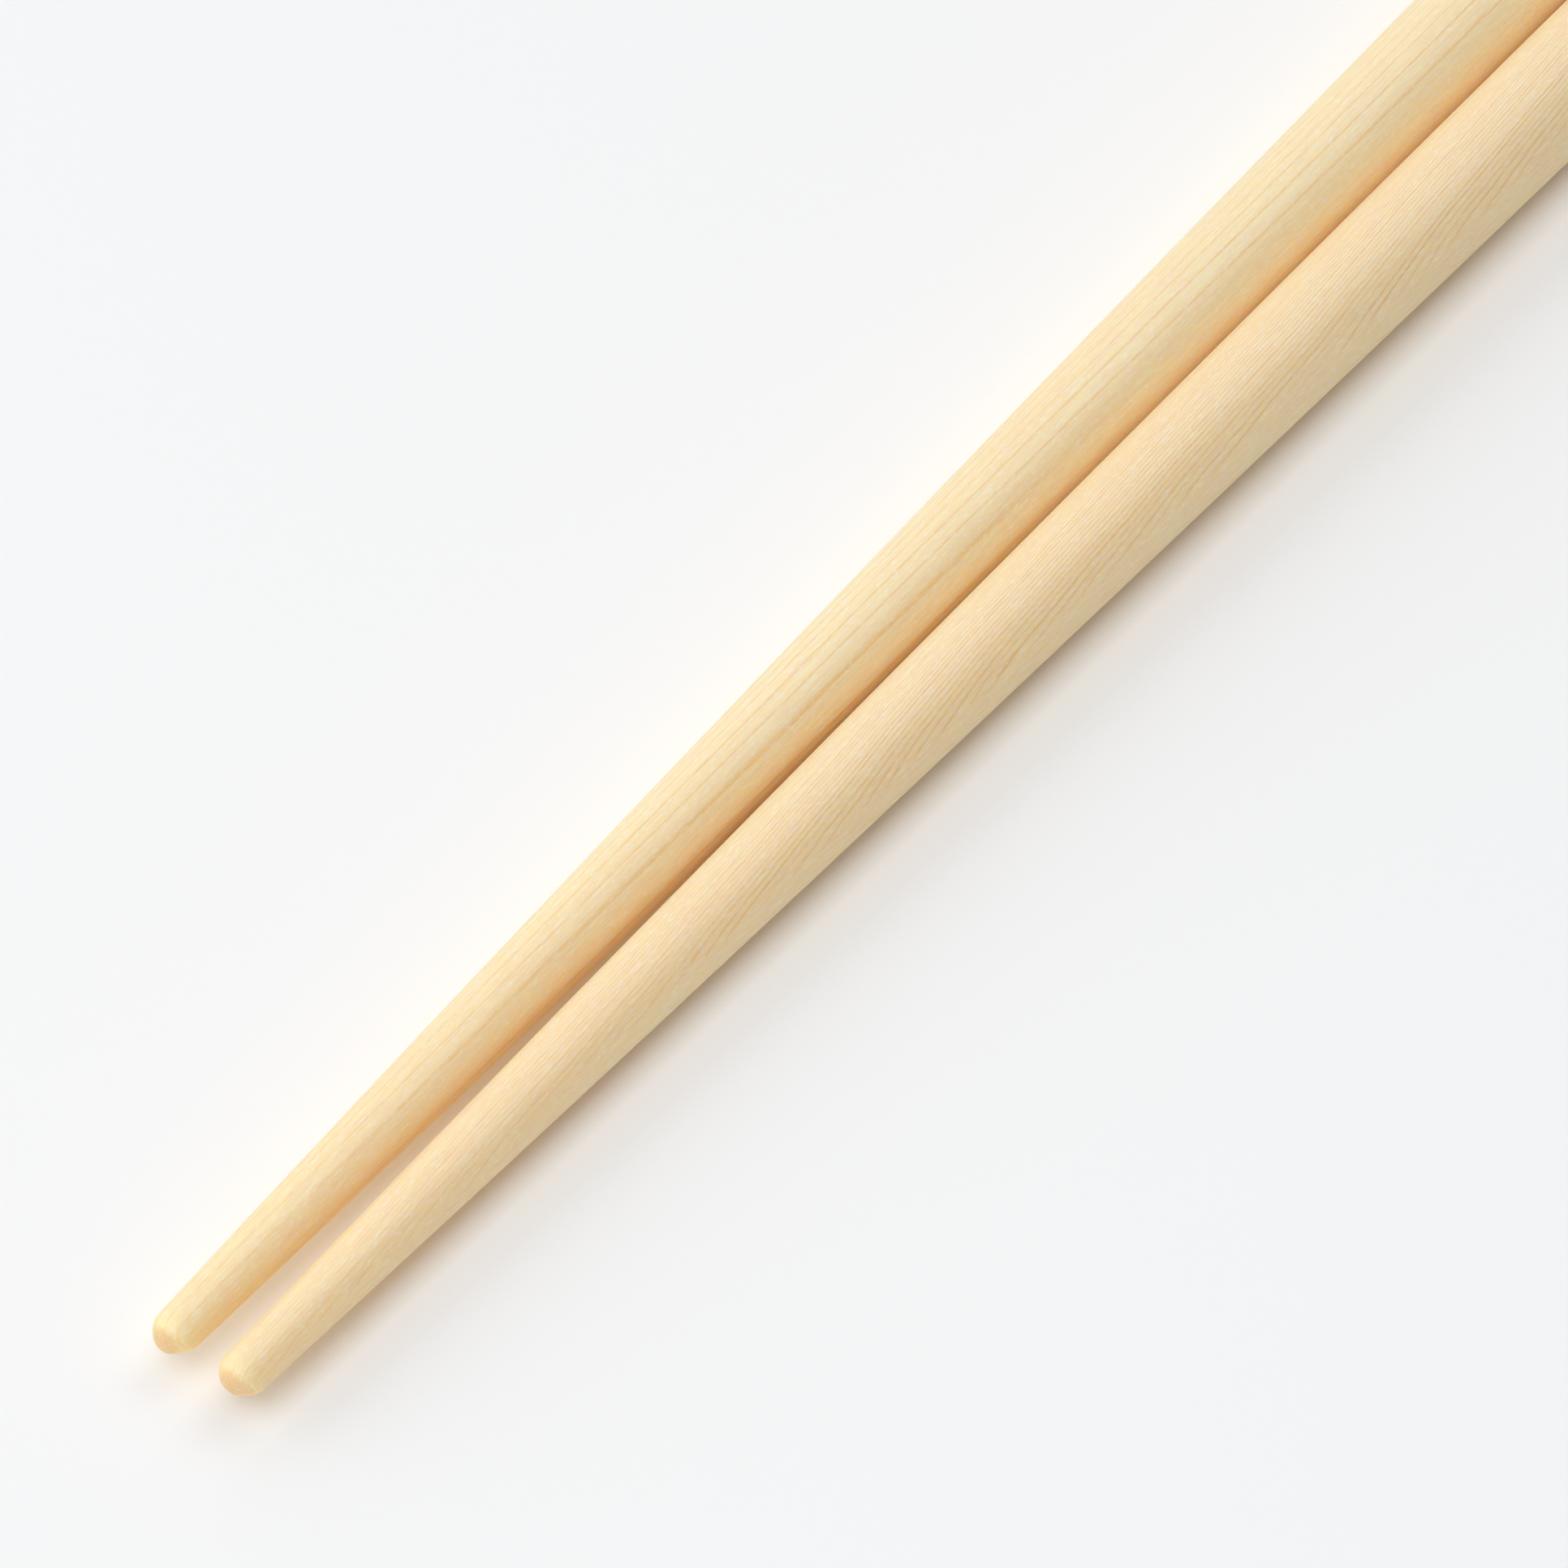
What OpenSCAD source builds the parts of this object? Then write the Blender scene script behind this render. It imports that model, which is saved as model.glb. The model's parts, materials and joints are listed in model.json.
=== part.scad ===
// A pair of round wooden chopsticks lying side by side on a table, in millimetres.
// +X runs along the sticks from their tips to their heads, +Y points from the fixed stick to
// the moving one, and +Z is up. The origin is on the table, under the middle of the pair.
// Each stick is one turned and hand-sanded piece: a blunt rounded tip, a taper that is
// quick behind the tip and dies away into a nearly straight handle, and a flat head.

/* [Stick] */
// Length of each stick, from its tip to its head
stick_length = 230; // [180:1:260]
// Diameter of the handle at the head
head_diameter = 8; // [7:0.1:9]
// Diameter of the stick just behind the rounded tip
tip_diameter = 2.8; // [2.2:0.1:4]
// Fullness of the taper: a higher number thickens the stick sooner behind the tip
taper_fullness = 2.7; // [2.2:0.1:3.4]

/* [Ends] */
// Length of the rounded nose at the tip
nose_length = 1.4; // [0.8:0.1:2.4]
// Bluntness of the nose: 2 is an ellipse and a higher number is squarer
nose_bluntness = 2.4; // [2:0.1:4]
// Radius that eases the edge of the head's flat end
head_edge_radius = 0.6; // [0.3:0.1:1.5]

/* [Pair] */
// Angle that each stick is turned out from the middle line, so that the tips lie closer
splay_angle = 0.65; // [0.4:0.05:1]
// Clear space between the sticks where they lie closest
closest_gap = 0.15; // [0.1:0.05:1]

/* [Hidden] */
$fn = 96;
taper_steps = 30;
nose_steps = 10;
edge_steps = 6;
taper_depth = (head_diameter - tip_diameter) / 2;

// Radius of the stick at x from its tip, and how fast that radius grows there
function radius_at(x) = head_diameter / 2 - taper_depth * pow(1 - x / stick_length, taper_fullness);
function growth_at(x) = taper_depth * taper_fullness / stick_length
    * pow(1 - x / stick_length, taper_fullness - 1);
// Where the radius grows by the tangent of an angle: a line at that angle rests there
function touch_at(angle) = stick_length * max(0, 1 - pow(
    stick_length * tan(angle) / (taper_depth * taper_fullness), 1 / (taper_fullness - 1)));
// How far that line lies from the start of the stick's axis
function reach_at(angle) = radius_at(touch_at(angle)) * cos(angle) - touch_at(angle) * sin(angle);
function total(values) = values * [for (v = values) 1];

// The stick lies on its belly, which meets the table under its point of balance
slices = [for (i = [0.5 : taper_steps]) stick_length * i / taper_steps];
areas = [for (x = slices) pow(radius_at(x), 2)];
balance_x = slices * areas / total(areas);
rest_tilt = atan(growth_at(balance_x));

// Half of the stick's outline, as [distance from the axis, distance from the tip]
nose_curve = [for (i = [0 : nose_steps])
    let (turn = 90 * i / nose_steps, along = 1 - cos(turn))
    [radius_at(nose_length) * pow(1 - pow(1 - along, nose_bluntness), 1 / nose_bluntness),
        nose_length * along]];
taper_curve = [for (i = [1 : taper_steps])
    let (x = nose_length + (stick_length - head_edge_radius - nose_length) * i / taper_steps)
    [radius_at(x), x]];
edge_curve = [for (i = [1 : edge_steps])
    let (turn = 90 * i / edge_steps)
    [radius_at(stick_length - head_edge_radius) - head_edge_radius * (1 - cos(turn)),
        stick_length - head_edge_radius * (1 - sin(turn))]];

// One stick along +X, with its tip at the origin
module stick() {
    rotate([90, 0, 90])
        rotate_extrude()
            polygon(concat(nose_curve, taper_curve, edge_curve, [[0, stick_length]]));
}

// A stick lying on the table on one side of the middle line: -1 is the fixed one's side
module lying(side) {
    translate([-stick_length / 2, side * (reach_at(splay_angle) + closest_gap / 2),
            reach_at(rest_tilt)])
        rotate([0, -rest_tilt, side * splay_angle])
            stick();
}

module fixed_chopstick() {
    color([0.95, 0.85, 0.65])
        lying(-1);
}

module moving_chopstick() {
    color([0.93, 0.82, 0.58])
        lying(1);
}

fixed_chopstick();
moving_chopstick();
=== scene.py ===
import json
import math

import bpy
import numpy as np
from bpy.props import FloatProperty, FloatVectorProperty, PointerProperty
from bpy.types import Operator, Panel, PropertyGroup, Scene
from mathutils import Matrix, Vector


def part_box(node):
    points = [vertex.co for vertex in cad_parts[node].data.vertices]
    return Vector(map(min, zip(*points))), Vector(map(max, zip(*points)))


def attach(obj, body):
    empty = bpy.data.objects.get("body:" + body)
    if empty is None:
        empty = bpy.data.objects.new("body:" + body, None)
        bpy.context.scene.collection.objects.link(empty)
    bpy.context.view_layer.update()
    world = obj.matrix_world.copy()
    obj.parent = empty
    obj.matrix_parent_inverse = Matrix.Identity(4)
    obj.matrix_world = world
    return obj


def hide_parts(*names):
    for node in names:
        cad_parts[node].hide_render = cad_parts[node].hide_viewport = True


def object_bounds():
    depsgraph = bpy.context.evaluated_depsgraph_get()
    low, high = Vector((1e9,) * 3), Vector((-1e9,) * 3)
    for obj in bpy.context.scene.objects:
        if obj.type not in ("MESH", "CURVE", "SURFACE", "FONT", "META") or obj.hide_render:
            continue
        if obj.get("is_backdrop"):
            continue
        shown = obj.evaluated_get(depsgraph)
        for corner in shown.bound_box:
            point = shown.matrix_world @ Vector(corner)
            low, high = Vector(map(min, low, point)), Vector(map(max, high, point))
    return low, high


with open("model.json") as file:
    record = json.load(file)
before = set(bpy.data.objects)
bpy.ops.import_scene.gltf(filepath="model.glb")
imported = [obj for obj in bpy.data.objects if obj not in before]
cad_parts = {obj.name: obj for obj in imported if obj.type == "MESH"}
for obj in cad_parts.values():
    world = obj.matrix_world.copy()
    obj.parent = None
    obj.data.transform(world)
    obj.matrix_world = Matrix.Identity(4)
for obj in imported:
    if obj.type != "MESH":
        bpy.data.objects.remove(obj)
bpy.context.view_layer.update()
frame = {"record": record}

bl_info = {
    "name": "Wooden chopsticks",
    "version": (1, 0, 0),
    "blender": (4, 5, 0),
    "location": "3D View > Sidebar > Chopsticks",
    "description": "Turns a pair of bare softwood chopsticks and lays them on a pale table",
    "category": "Add Mesh",
}

MM = 0.001

# The surface grid of a stick: rings along its parts, and points around each ring.
NOSE_RINGS = 28
TAPER_RINGS = 430
EDGE_RINGS = 8
FACE_RINGS = 14
AROUND = 190

# How far the heart of the log lies from each stick, in millimetres.
PITH_AWAY = 60.0

# Over how much height the edge of a sanded facet rounds off.
FACET_SOFTNESS = 0.10 * MM

# Noise patterns in the wood: cell length along the grain, cell width across it, octaves of detail.
# Real fibres are about 0.03 mm across, so the streaks are drawn several fibres wide to show.
PATTERNS = {
    "fibre": (2.5 * MM, 0.16 * MM, 2.0),
    # The flecks are pale marks in the wood, and they also stand in for glints of the sanded fibres:
    # part of them is painted highlight.
    "fleck_and_glint": (0.5 * MM, 0.15 * MM, 1.0),
    "drift": (45 * MM, 2.4 * MM, 1.0),
}
# Tint screened over the wood for the pale flecks, which are partly painted glints of the fibres.
FLECK_AND_GLINT_TINT = (0.35, 0.33, 0.30, 1)

# How far light travels inside the wood, and the share of that for red, green and blue.
LIGHT_REACH = 2.0 * MM
LIGHT_REACH_SHARES = (1.0, 0.80, 0.20)

# The lamps and the room are a little cool, and the table a little warm, so the table looks white
# and light that it throws back up is golden on the wood.
LAMP_COLOUR = (1.01, 1.0, 1.13)
ROOM_COLOUR = (0.87, 0.985, 1.28)
ROOM_STRENGTH = 0.28

# The point on the table that the camera aims at: how far past the tips, and across the pair.
AIM_PAST_TIPS = 55.7 * MM
AIM_ACROSS = 1.66 * MM


def linear(hex_colour):
    """An sRGB colour such as "F4DCB7" as linear red, green and blue."""
    channels = [int(hex_colour[i : i + 2], 16) / 255 for i in (0, 2, 4)]
    return [c / 12.92 if c <= 0.04045 else ((c + 0.055) / 1.055) ** 2.4 for c in channels]


# How each stick was cut from its log and finished by hand. Angles are in degrees and lengths in
# millimetres, and angles about the stick's axis are measured from straight up towards -Y.
# The rings face one way, a spacing apart, and climb as they run along the stick, by a slope that
# eases with distance. The phase shifts the rings, by a share of a year, and the slow unevenness.
# The dark line takes a share of each year, has a strength, and keeps only a share of it on the slim
# end. The tone is how this piece of wood differs from the shared colours in red, green and blue. A
# facet is (angle about the axis, angle from the tip's direction, depth from the nose's outermost
# point). A wave of the grain is (length, height, start). Out of round is a share of the radius, and
# the seed picks which years are strong.
CUTS = {
    "fixed": {
        "ring_facing": 82,
        "ring_spacing": 0.22,
        "climb": -0.053,
        "climb_easing": 0.0,
        "phase": 0.2,
        "line_share": 0.55,
        "line_strength": 1.0,
        "slim_share": 0.4,
        "tone": (1.005, 0.99, 0.97),
        "facets": [(-90, 52, 0.05), (-153, 31, 0.04), (145, 53, 0.10), (111, 40, 0.22)],
        "waves": [(61, 0.12, 0.4), (23, 0.04, 2.1), (9, 0.015, 4.0)],
        "out_of_round": 0.005,
        "seed": 3.0,
    },
    "moving": {
        "ring_facing": 60,
        "ring_spacing": 0.68,
        "climb": 0.028,
        "climb_easing": 0.00005,
        "phase": 0.15,
        "line_share": 0.26,
        "line_strength": 0.9,
        "slim_share": 0.55,
        "tone": (1.0, 1.013, 0.967),
        "facets": [(-90, 52, 0.02), (145, 53, 0.16), (115, 62, 0.06)],
        "waves": [(70, 0.03, 1.3), (31, 0.012, 0.2), (11, 0.003, 3.0)],
        "out_of_round": 0.004,
        "seed": 11.0,
    },
}


class ChopstickSizes(PropertyGroup):
    """The turned shape that both sticks share."""

    head_diameter: FloatProperty(
        name="Head diameter", description="Thickness of the handle at the head",
        default=8 * MM, unit="LENGTH", precision=4)
    tip_diameter: FloatProperty(
        name="Tip diameter", description="Thickness just behind the rounded tip",
        default=2.8 * MM, unit="LENGTH", precision=4)
    fullness: FloatProperty(
        name="Fullness", description="How soon the stick thickens behind the tip",
        default=2.7, min=2.2, max=3.4)
    nose_length: FloatProperty(
        name="Nose length", description="Length of the rounded nose",
        default=1.4 * MM, unit="LENGTH", precision=4)
    nose_bluntness: FloatProperty(
        name="Nose bluntness", description="2 is an ellipse and a higher number is squarer",
        default=2.4, min=2, max=4)
    edge_radius: FloatProperty(
        name="Head edge radius", description="Radius that eases the head's flat end",
        default=0.6 * MM, unit="LENGTH", precision=4)


class ChopstickWood(PropertyGroup):
    """The colours and finish of the bare wood."""

    earlywood: FloatVectorProperty(
        name="Earlywood", description="Pale spring growth between the lines",
        default=linear("FDDFA8"), subtype="COLOR")
    latewood: FloatVectorProperty(
        name="Latewood", description="Darker summer growth that draws the lines",
        default=linear("F0C570"), subtype="COLOR")
    end_grain: FloatVectorProperty(
        name="End grain", description="Tint of the cut fibre ends, which drink more light",
        default=linear("EDE1D4"), subtype="COLOR")
    roughness: FloatProperty(
        name="Roughness", description="Finely sanded bare wood is dull",
        default=0.5, min=0, max=1)


class ChopstickStage(PropertyGroup):
    """The table, the light and the camera."""

    table_colour: FloatVectorProperty(
        name="Table", description="Matt white board", default=linear("F7F5E5"), subtype="COLOR")
    camera_azimuth: FloatProperty(
        name="Camera azimuth", description="Way the camera looks, turned from +X towards +Y",
        default=math.radians(37.845), subtype="ANGLE")
    camera_elevation: FloatProperty(
        name="Camera elevation", description="How steeply the camera looks down",
        default=math.radians(48.95), subtype="ANGLE")
    camera_roll: FloatProperty(
        name="Camera roll", description="How far the camera is off level",
        default=math.radians(-0.435), subtype="ANGLE")
    camera_distance: FloatProperty(
        name="Camera distance", description="From the lens to the point it aims at",
        default=0.5, unit="LENGTH")
    camera_lens: FloatProperty(
        name="Lens", description="Focal length in millimetres on a 36 mm sensor", default=194.2)


def new_node(tree, kind, settings=None, inputs=None):
    """Adds a node, sets its fields, and gives each input a value or another node's socket."""
    node = tree.nodes.new("ShaderNode" + kind)
    for field, value in (settings or {}).items():
        setattr(node, field, value)
    for key, value in (inputs or {}).items():
        if isinstance(value, bpy.types.NodeSocket):
            tree.links.new(value, node.inputs[key])
        else:
            node.inputs[key].default_value = value
    return node


def stick_place(side):
    """Where a stick lies: its tip point, and the matrix that turns its own axes to the frame's.

    Its own X runs along it from the tip to the head, its own Z is as upright as that allows, and
    the head's mount gives both.
    """
    mount = next(m for m in frame["record"]["mounts"] if m["name"] == side + "_head_end")
    head, along = Vector(mount["pos_m"]), Vector(mount["axis"]).normalized()
    across = Vector((0, 0, 1)).cross(along).normalized()
    turn = Matrix((along, across, along.cross(across))).transposed()
    lowest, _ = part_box(side + "_chopstick")
    length = (head.x - lowest.x) / along.x
    return head - along * length, turn, length


def outline(sizes, length):
    """The stick's half outline from the tip to the middle of the head: distance along, and radius.

    Nose: a quarter of a superellipse. Taper: the radius falls short of the head's by a power of the
    share of the length that is left. Edge: a quarter circle. Head: a straight line to the axis.
    """
    def radius(x):
        depth = (sizes.head_diameter - sizes.tip_diameter) / 2
        return sizes.head_diameter / 2 - depth * (1 - x / length) ** sizes.fullness

    turn = np.linspace(0, math.pi / 2, NOSE_RINGS + 1)[1:]
    share = 1 - np.cos(turn)
    nose_x = sizes.nose_length * share
    power = sizes.nose_bluntness
    nose_r = radius(sizes.nose_length) * (1 - (1 - share) ** power) ** (1 / power)
    edge_x = length - sizes.edge_radius
    taper_x = np.linspace(sizes.nose_length, edge_x, TAPER_RINGS + 1)[1:]
    turn = np.linspace(0, math.pi / 2, EDGE_RINGS + 1)[1:]
    round_x = edge_x + sizes.edge_radius * np.sin(turn)
    round_r = radius(edge_x) - sizes.edge_radius * (1 - np.cos(turn))
    face_r = round_r[-1] * np.linspace(1, 0, FACE_RINGS + 1)[1:-1]
    along = np.concatenate((nose_x, taper_x, round_x, np.full(face_r.shape, length)))
    return along, np.concatenate((nose_r, radius(taper_x), round_r, face_r))


def hand_sanded(points, cut, sizes):
    """Facets sanded on the nose: a point that stands proud of a facet's plane is pushed back on it.

    The push is the soft positive part of the height above the plane, so facets meet in soft edges.
    """
    nose_reach = sizes.tip_diameter * 0.75
    centre = np.array([nose_reach, 0, 0])
    for about, lean, depth in cut["facets"]:
        about, lean = math.radians(about), math.radians(lean)
        normal = np.array([
            -math.cos(lean), -math.sin(lean) * math.sin(about), math.sin(lean) * math.cos(about)])
        height = (points - centre) @ normal
        outermost = height[points[:, 0] < nose_reach].max()
        proud = (height - outermost + depth * MM) / FACET_SOFTNESS
        points = points - (FACET_SOFTNESS * np.logaddexp(0, proud))[:, None] * normal
    return points


def ring_count(points, cut):
    """How many growth rings lie between each point and the stick's axis.

    Rings are shells round a distant pith. The distance across them, less the climb of the grain
    along the stick, plus some slow waves, is divided by the ring spacing, and a sine makes some
    years wider than others.
    """
    wave_slant = 0.15
    year_swing, year_pace, year_start = 0.05, 2.3, 0.6
    x, y, z = (points / MM).T
    facing = math.radians(cut["ring_facing"])
    across = -y * math.sin(facing) + z * math.cos(facing)
    beside = y * math.cos(facing) + z * math.sin(facing)
    shell = np.hypot(across + PITH_AWAY, beside) - PITH_AWAY
    climb = cut["climb"] * x - cut["climb_easing"] * x * x
    wave = sum(size * np.sin(2 * math.pi * x / span + start + wave_slant * beside)
               for span, size, start in cut["waves"])
    count = (shell - climb + wave) / cut["ring_spacing"] + cut["phase"]
    return count - year_swing * np.sin(year_pace * count + year_start)


def stick_mesh(name, side, sizes):
    """A closed stick: each outline ring swept round the axis, plus one point at each end.

    The ring radius carries an oval, a three-sided swell and a ripple, as hand sanding leaves. They
    turn or travel slowly along the stick and only ever take wood away. Then the nose gets its
    facets. The mesh keeps each point's growth ring count, how squarely it cuts the fibres, how flat
    it lies to the rings, and its distance from the tip.
    """
    oval_turn, swell_turn, ripple_length = 70 * MM, 40 * MM, 19 * MM
    swell_share, ripple_share = 0.5, 0.5
    cut = CUTS[side]
    tip, turn, length = stick_place(side)
    along, radius = outline(sizes, length)
    angle = np.linspace(0, 2 * math.pi, AROUND, endpoint=False)
    x = along[:, None]
    uneven = cut["out_of_round"] * (
        np.cos(2 * angle + x / oval_turn + cut["phase"])
        + swell_share * np.sin(3 * angle - x / swell_turn)
        + ripple_share * np.sin(x / ripple_length + 3 * cut["phase"])
        - (1 + swell_share + ripple_share))
    swept = radius[:, None] * (1 + uneven)
    rings = np.stack((
        np.broadcast_to(x, swept.shape), swept * np.sin(angle), swept * np.cos(angle)), axis=-1)
    ends = np.array([[0, 0, 0], [length, 0, 0]])
    points = np.concatenate((rings.reshape(-1, 3), ends))
    points = hand_sanded(points, cut, sizes)
    counts = ring_count(points, cut)

    rows = len(along)
    row, column = np.mgrid[0 : rows - 1, 0:AROUND]
    beside = (column + 1) % AROUND
    quads = np.stack((
        row * AROUND + column, row * AROUND + beside,
        (row + 1) * AROUND + beside, (row + 1) * AROUND + column), axis=-1).reshape(-1, 4)
    column = np.arange(AROUND)
    beside = (column + 1) % AROUND
    last = (rows - 1) * AROUND
    nose = np.stack((np.full(AROUND, rows * AROUND), beside, column), axis=-1)
    head = np.stack((np.full(AROUND, rows * AROUND + 1), last + column, last + beside), axis=-1)

    mesh = bpy.data.meshes.new(name)
    placed = points @ np.array(turn).T + np.array(tip)
    mesh.from_pydata(placed, [], quads.tolist() + nose.tolist() + head.tolist())
    mesh.shade_smooth()
    normals = np.zeros(len(points) * 3, np.float32)
    mesh.vertices.foreach_get("normal", normals)
    normals = normals.reshape(-1, 3) @ np.array(turn)
    facing = math.radians(cut["ring_facing"])
    flatness = np.abs(normals @ np.array([0, -math.sin(facing), math.cos(facing)]))
    for attribute, values in (
            ("ring_count", counts), ("end_grain", np.abs(normals[:, 0])), ("flat_cut", flatness),
            ("from_tip", points[:, 0])):
        layer = mesh.attributes.new(attribute, "FLOAT", "POINT")
        layer.data.foreach_set("value", values.astype(np.float32))
    return mesh


def remapped(tree, value, low, high, start=0.0, end=1.0, kind="SMOOTHSTEP"):
    """Low to high becomes start to end, held beyond both, and eased unless the kind is linear."""
    return new_node(tree, "MapRange", {"interpolation_type": kind},
                    {"Value": value, "From Min": low, "From Max": high,
                     "To Min": start, "To Max": end}).outputs[0]


def product(tree, first, second):
    """Two values multiplied."""
    return new_node(tree, "Math", {"operation": "MULTIPLY"}, {0: first, 1: second}).outputs[0]


def mixed(tree, share, under, over, blend="MIX"):
    """A share of one colour laid over another."""
    return new_node(tree, "Mix", {"data_type": "RGBA", "blend_type": blend},
                    {0: share, 6: under, 7: over}).outputs[2]


def sanded_cypress(side, wood):
    """Bare Japanese cypress, turned and finely sanded: a cream ground with thin straw-brown lines,
    silky fibre streaks, short pale flecks that are partly painted glints of the fibres, a warm glow
    where light passes through the thin parts, and darker cut ends."""
    cut = CUTS[side]
    tip, turn, _ = stick_place(side)
    earlywood, latewood = (
        (*(c * tone for c, tone in zip(shared, cut["tone"])), 1)
        for shared in (wood.earlywood, wood.latewood))
    material = bpy.data.materials.new("sanded_cypress_" + side)
    material.use_nodes = True
    tree = material.node_tree
    tree.nodes.clear()
    place = new_node(tree, "TexCoord").outputs["Object"]
    ring, squareness, flat_cut, from_tip = (
        new_node(tree, "Attribute", {"attribute_name": name}).outputs["Fac"]
        for name in ("ring_count", "end_grain", "flat_cut", "from_tip"))
    noise = {}
    for pattern, (cell_length, cell_width, detail) in PATTERNS.items():
        mapped = new_node(tree, "Mapping", {"vector_type": "TEXTURE"},
                          {"Vector": place, "Location": tip, "Rotation": turn.to_euler(),
                           "Scale": (cell_length, cell_width, cell_width)}).outputs[0]
        noise[pattern] = new_node(tree, "TexNoise", {},
                                  {"Vector": mapped, "Scale": 1.0,
                                   "Detail": detail}).outputs["Fac"]

    # Lines: darkness climbs through each year's growth and drops back sharply at its end. They
    # blur out where the surface lies flat to the rings.
    share = cut["line_share"]
    year = new_node(tree, "Math", {"operation": "FRACT"}, {0: ring}).outputs[0]
    rise = remapped(tree, year, 1 - share, 1 - 0.3 * share)
    fall = remapped(tree, year, 1 - 0.25 * share, 1.0, 1.0, 0.0)
    line = product(tree, rise, fall)
    crossing = remapped(tree, flat_cut, 0.93, 0.995, cut["line_strength"], 0.0)
    # They are fainter on the slim end, where the sanding goes deepest.
    slim = remapped(tree, from_tip, 2 * MM, 60 * MM, cut["slim_share"], 1.0)
    # Some years are much fainter than others.
    shifted = new_node(tree, "Math", {"operation": "ADD"}, {0: ring, 1: cut["seed"]}).outputs[0]
    good_year = new_node(tree, "TexNoise", {"noise_dimensions": "1D"},
                         {"W": shifted, "Scale": 0.9, "Detail": 1.0}).outputs["Fac"]
    strength = remapped(tree, good_year, 0.3, 0.7, 0.25, 1.0, "LINEAR")
    amount = product(tree, product(tree, product(tree, line, strength), crossing), slim)

    # Colour: the lines, then slow warm drifts, pale flecks that are partly painted glints, fibre
    # streaks and the cut ends.
    ground = mixed(tree, amount, earlywood, latewood)
    warmth = remapped(tree, noise["drift"], 0.35, 0.65, 0.0, 0.16, "LINEAR")
    warmed = mixed(tree, warmth, ground, latewood)
    # Pale flecks screened over the wood: pale marks in it, and painted glints of the fibres as
    # well.
    pale_fleck_and_glint = remapped(tree, noise["fleck_and_glint"], 0.50, 0.72, 0.0, 0.75, "LINEAR")
    flecked_and_glinting = mixed(tree, pale_fleck_and_glint, warmed, FLECK_AND_GLINT_TINT, "SCREEN")
    shade = remapped(tree, noise["fibre"], 0.3, 0.7, 0.945, 1.03, "LINEAR")
    streaked = new_node(tree, "VectorMath", {"operation": "SCALE"},
                        {0: flecked_and_glinting, "Scale": shade}).outputs[0]
    drinking = remapped(tree, squareness, 0.45, 1.0)
    colour = mixed(tree, drinking, streaked, (*wood.end_grain, 1), "MULTIPLY")

    # Relief: sanding leaves the hard lines a little proud and the fibres faintly ribbed.
    relief = new_node(tree, "Math", {"operation": "MULTIPLY_ADD"},
                      {0: noise["fibre"], 1: 0.8, 2: amount}).outputs[0]
    bump = new_node(tree, "Bump", {}, {"Height": relief, "Strength": 0.7,
                                       "Distance": 0.02 * MM}).outputs[0]
    shader = new_node(tree, "BsdfPrincipled", {},
                      {"Base Color": colour, "Roughness": wood.roughness, "IOR": 1.6,
                       "Specular IOR Level": 1.0, "Normal": bump,
                       "Subsurface Weight": 1.0, "Subsurface Scale": LIGHT_REACH,
                       "Subsurface Radius": LIGHT_REACH_SHARES})
    output = new_node(tree, "OutputMaterial")
    tree.links.new(shader.outputs[0], output.inputs["Surface"])
    return material


def lay_stick(side, sizes, wood):
    """Turns one stick, gives it its wood and lets it ride on its body in place of the CAD node."""
    name = side + "_chopstick_wood"
    mesh = stick_mesh(name, side, sizes)
    mesh.materials.append(sanded_cypress(side, wood))
    stick = bpy.data.objects.new(name, mesh)
    bpy.context.scene.collection.objects.link(stick)
    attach(stick, side + "_stick")
    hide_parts(side + "_chopstick")


def lay_table(stage):
    """A matt white board, wide enough to fill the view and level with the sticks' bellies."""
    half = 3.0
    lowest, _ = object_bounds()
    mesh = bpy.data.meshes.new("table")
    corners = [(-half, -half), (half, -half), (half, half), (-half, half)]
    mesh.from_pydata([(x, y, lowest[2]) for x, y in corners], [], [(0, 1, 2, 3)])
    material = bpy.data.materials.new("matt_white_board")
    material.use_nodes = True
    shader = material.node_tree.nodes["Principled BSDF"]
    shader.inputs["Base Color"].default_value = (*stage.table_colour, 1)
    shader.inputs["Roughness"].default_value = 0.8
    shader.inputs["Specular IOR Level"].default_value = 0.1
    mesh.materials.append(material)
    table = bpy.data.objects.new("table", mesh)
    bpy.context.scene.collection.objects.link(table)
    table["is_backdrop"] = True


def hang_light(name, direction, distance, size, power):
    """A square softbox that shines at the middle of the pair from a direction.

    Its distance and the length of its side are in metres, and its power is in watts.
    """
    light = bpy.data.lights.new(name, "AREA")
    light.shape = "SQUARE"
    light.size = size
    light.energy = power
    light.color = LAMP_COLOUR
    lamp = bpy.data.objects.new(name, light)
    toward = Vector(direction).normalized()
    lamp.location = toward * distance
    lamp.rotation_euler = toward.to_track_quat("Z", "Y").to_euler()
    bpy.context.scene.collection.objects.link(lamp)


def light_studio():
    """A bright, even room, with softboxes overhead and beyond the sticks and one before the tips.

    The overhead and side lights come in pairs, the stronger one on the tips' side.
    """
    world = bpy.data.worlds.new("bright_room")
    world.use_nodes = True
    room = world.node_tree.nodes["Background"]
    room.inputs["Color"].default_value = (*ROOM_COLOUR, 1)
    room.inputs["Strength"].default_value = ROOM_STRENGTH
    bpy.context.scene.world = world
    for way, share in ((-1, 1.2), (1, 0.8)):
        hang_light("overhead_softbox", (way * 0.42, -0.06, 0.90),
                   distance=1.05, size=0.7, power=2.8 * share)
        hang_light("side_panel", (way * 0.42, 0.78, 0.52),
                   distance=1.2, size=1.0, power=3.55 * share)
    hang_light("front_panel", (-0.80, -0.10, 0.58), distance=1.2, size=1.1, power=3.1)
    # Much of the light in the narrow gap between the sticks has bounced many times.
    bpy.context.scene.cycles.diffuse_bounces = 12
    view = bpy.context.scene.view_settings
    view.view_transform = "Standard"
    view.look = "None"


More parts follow.
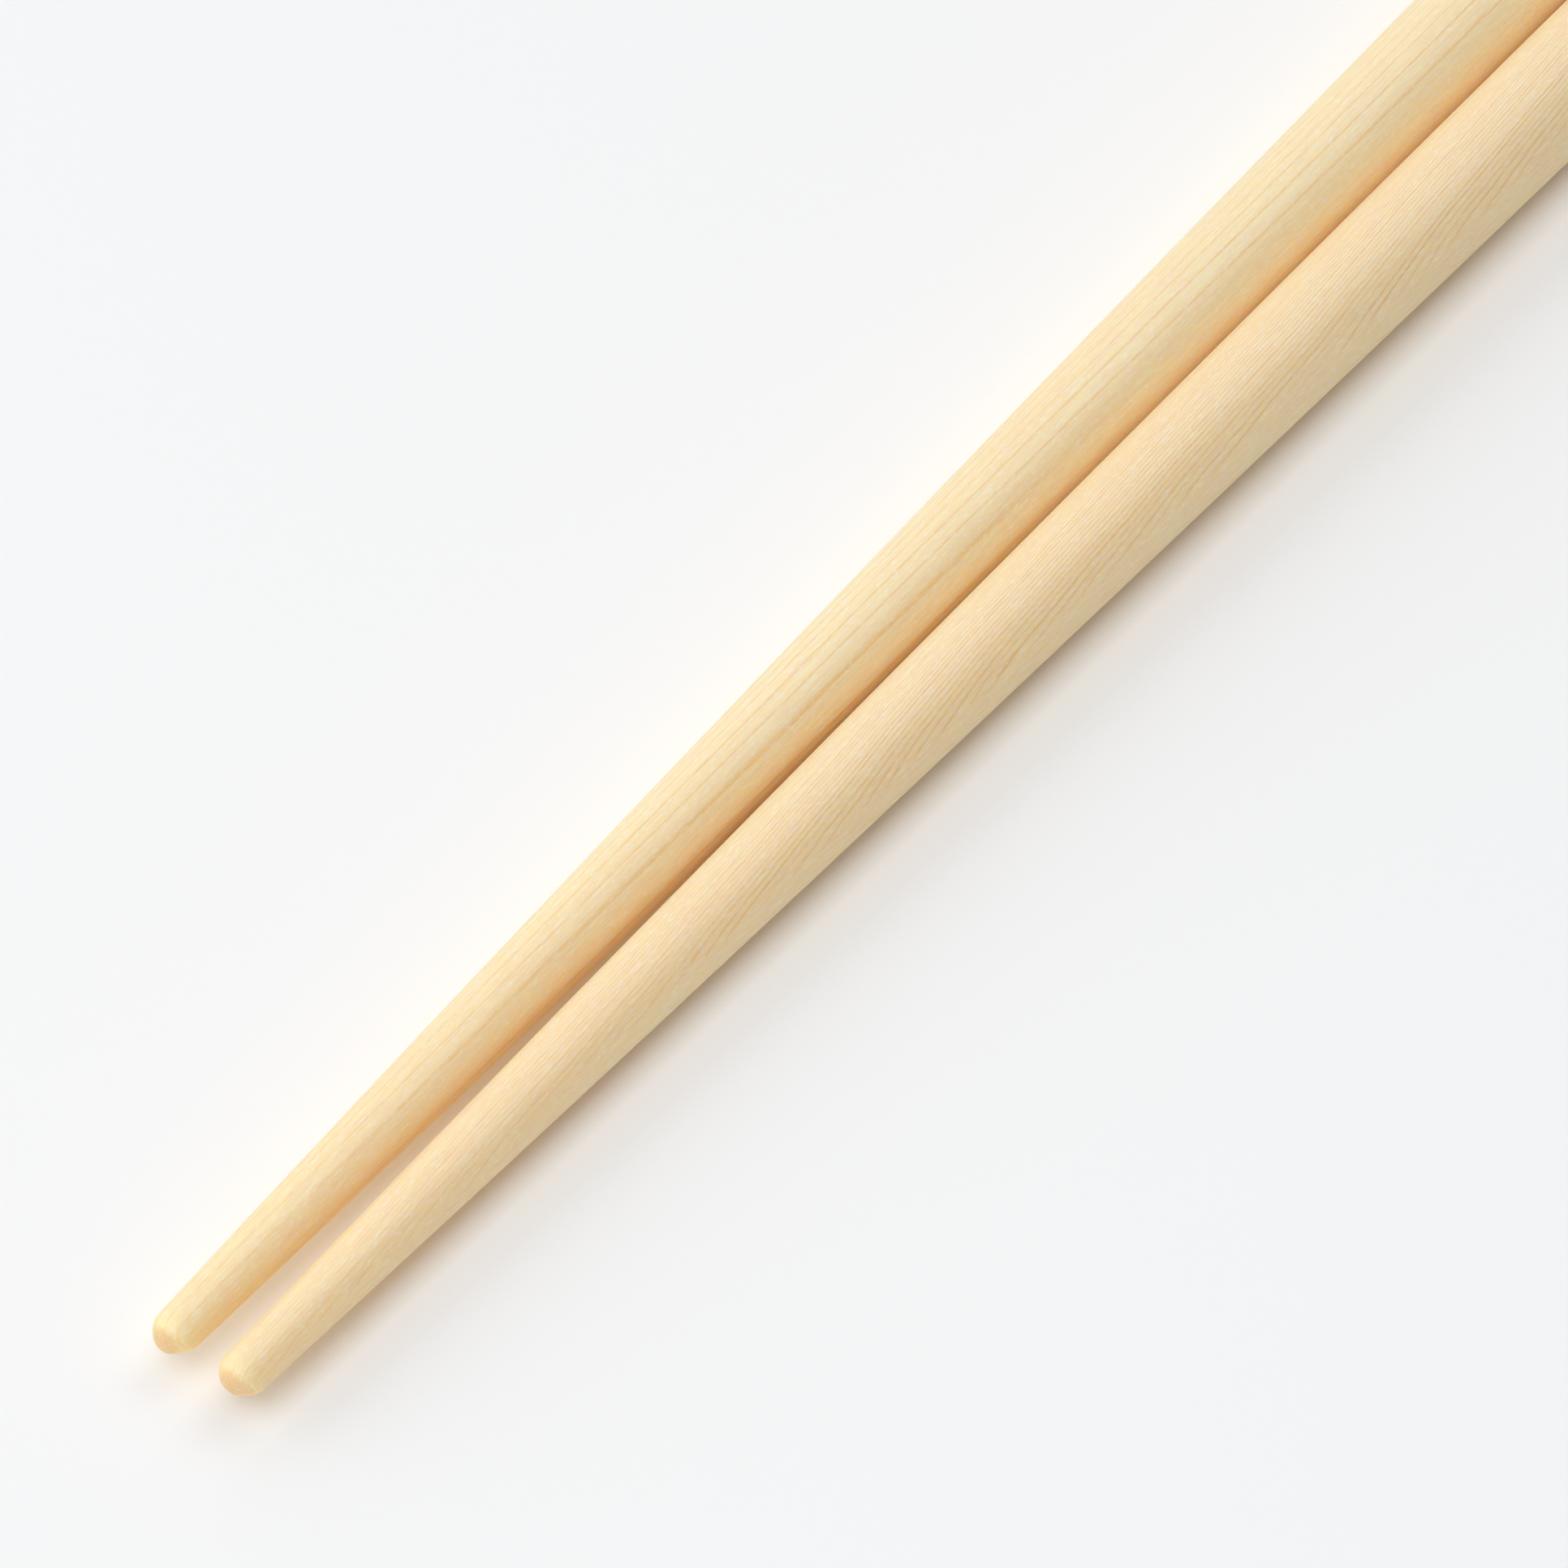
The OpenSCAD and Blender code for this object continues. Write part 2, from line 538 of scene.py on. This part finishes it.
def aim_camera(stage):
    """A long lens that looks down on the tips along the lie of the sticks."""
    lowest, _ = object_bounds()
    aim = Vector((lowest[0] + AIM_PAST_TIPS, AIM_ACROSS, lowest[2]))
    azimuth, elevation = stage.camera_azimuth, stage.camera_elevation
    look = Vector((math.cos(azimuth) * math.cos(elevation),
                   math.sin(azimuth) * math.cos(elevation), -math.sin(elevation)))
    lens = bpy.data.cameras.new("camera")
    lens.sensor_width = 36
    lens.lens = stage.camera_lens
    lens.clip_start = 0.01
    camera = bpy.data.objects.new("camera", lens)
    camera.location = aim - look * stage.camera_distance
    level = look.to_track_quat("-Z", "Y").to_matrix()
    camera.rotation_euler = (level @ Matrix.Rotation(stage.camera_roll, 3, "Z")).to_euler()
    bpy.context.scene.collection.objects.link(camera)
    bpy.context.scene.camera = camera


class CHOPSTICKS_OT_fixed(Operator):
    """Turn the stick that is held still"""

    bl_idname = "chopsticks.fixed"
    bl_label = "Fixed stick"

    def execute(self, context):
        lay_stick("fixed", context.scene.chopstick_sizes, context.scene.chopstick_wood)
        return {"FINISHED"}


class CHOPSTICKS_OT_moving(Operator):
    """Turn the stick that the fingers swing"""

    bl_idname = "chopsticks.moving"
    bl_label = "Moving stick"

    def execute(self, context):
        lay_stick("moving", context.scene.chopstick_sizes, context.scene.chopstick_wood)
        return {"FINISHED"}


class CHOPSTICKS_OT_stage(Operator):
    """Lay the table, hang the light and aim the camera"""

    bl_idname = "chopsticks.stage"
    bl_label = "Stage"

    def execute(self, context):
        stage = context.scene.chopstick_stage
        lay_table(stage)
        light_studio()
        aim_camera(stage)
        return {"FINISHED"}


class CHOPSTICKS_PT_sidebar(Panel):
    """The sizes and colours, and a button for each piece."""

    bl_label = "Chopsticks"
    bl_space_type = "VIEW_3D"
    bl_region_type = "UI"
    bl_category = "Chopsticks"

    def draw(self, context):
        scene = context.scene
        for group in (scene.chopstick_sizes, scene.chopstick_wood, scene.chopstick_stage):
            box = self.layout.box()
            for name in group.__annotations__:
                box.prop(group, name)
        for operator in PIECES:
            self.layout.operator(operator.bl_idname)


PIECES = (CHOPSTICKS_OT_fixed, CHOPSTICKS_OT_moving, CHOPSTICKS_OT_stage)
GROUPS = {
    "chopstick_sizes": ChopstickSizes,
    "chopstick_wood": ChopstickWood,
    "chopstick_stage": ChopstickStage,
}


def register():
    for cls in (*GROUPS.values(), *PIECES, CHOPSTICKS_PT_sidebar):
        bpy.utils.register_class(cls)
    for name, group in GROUPS.items():
        setattr(Scene, name, PointerProperty(type=group))


def unregister():
    for name in GROUPS:
        delattr(Scene, name)
    for cls in (CHOPSTICKS_PT_sidebar, *reversed(PIECES), *reversed(GROUPS.values())):
        bpy.utils.unregister_class(cls)


def main():
    register()
    bpy.ops.chopsticks.fixed()
    bpy.ops.chopsticks.moving()
    bpy.ops.chopsticks.stage()


if __name__ == "__main__":
    main()
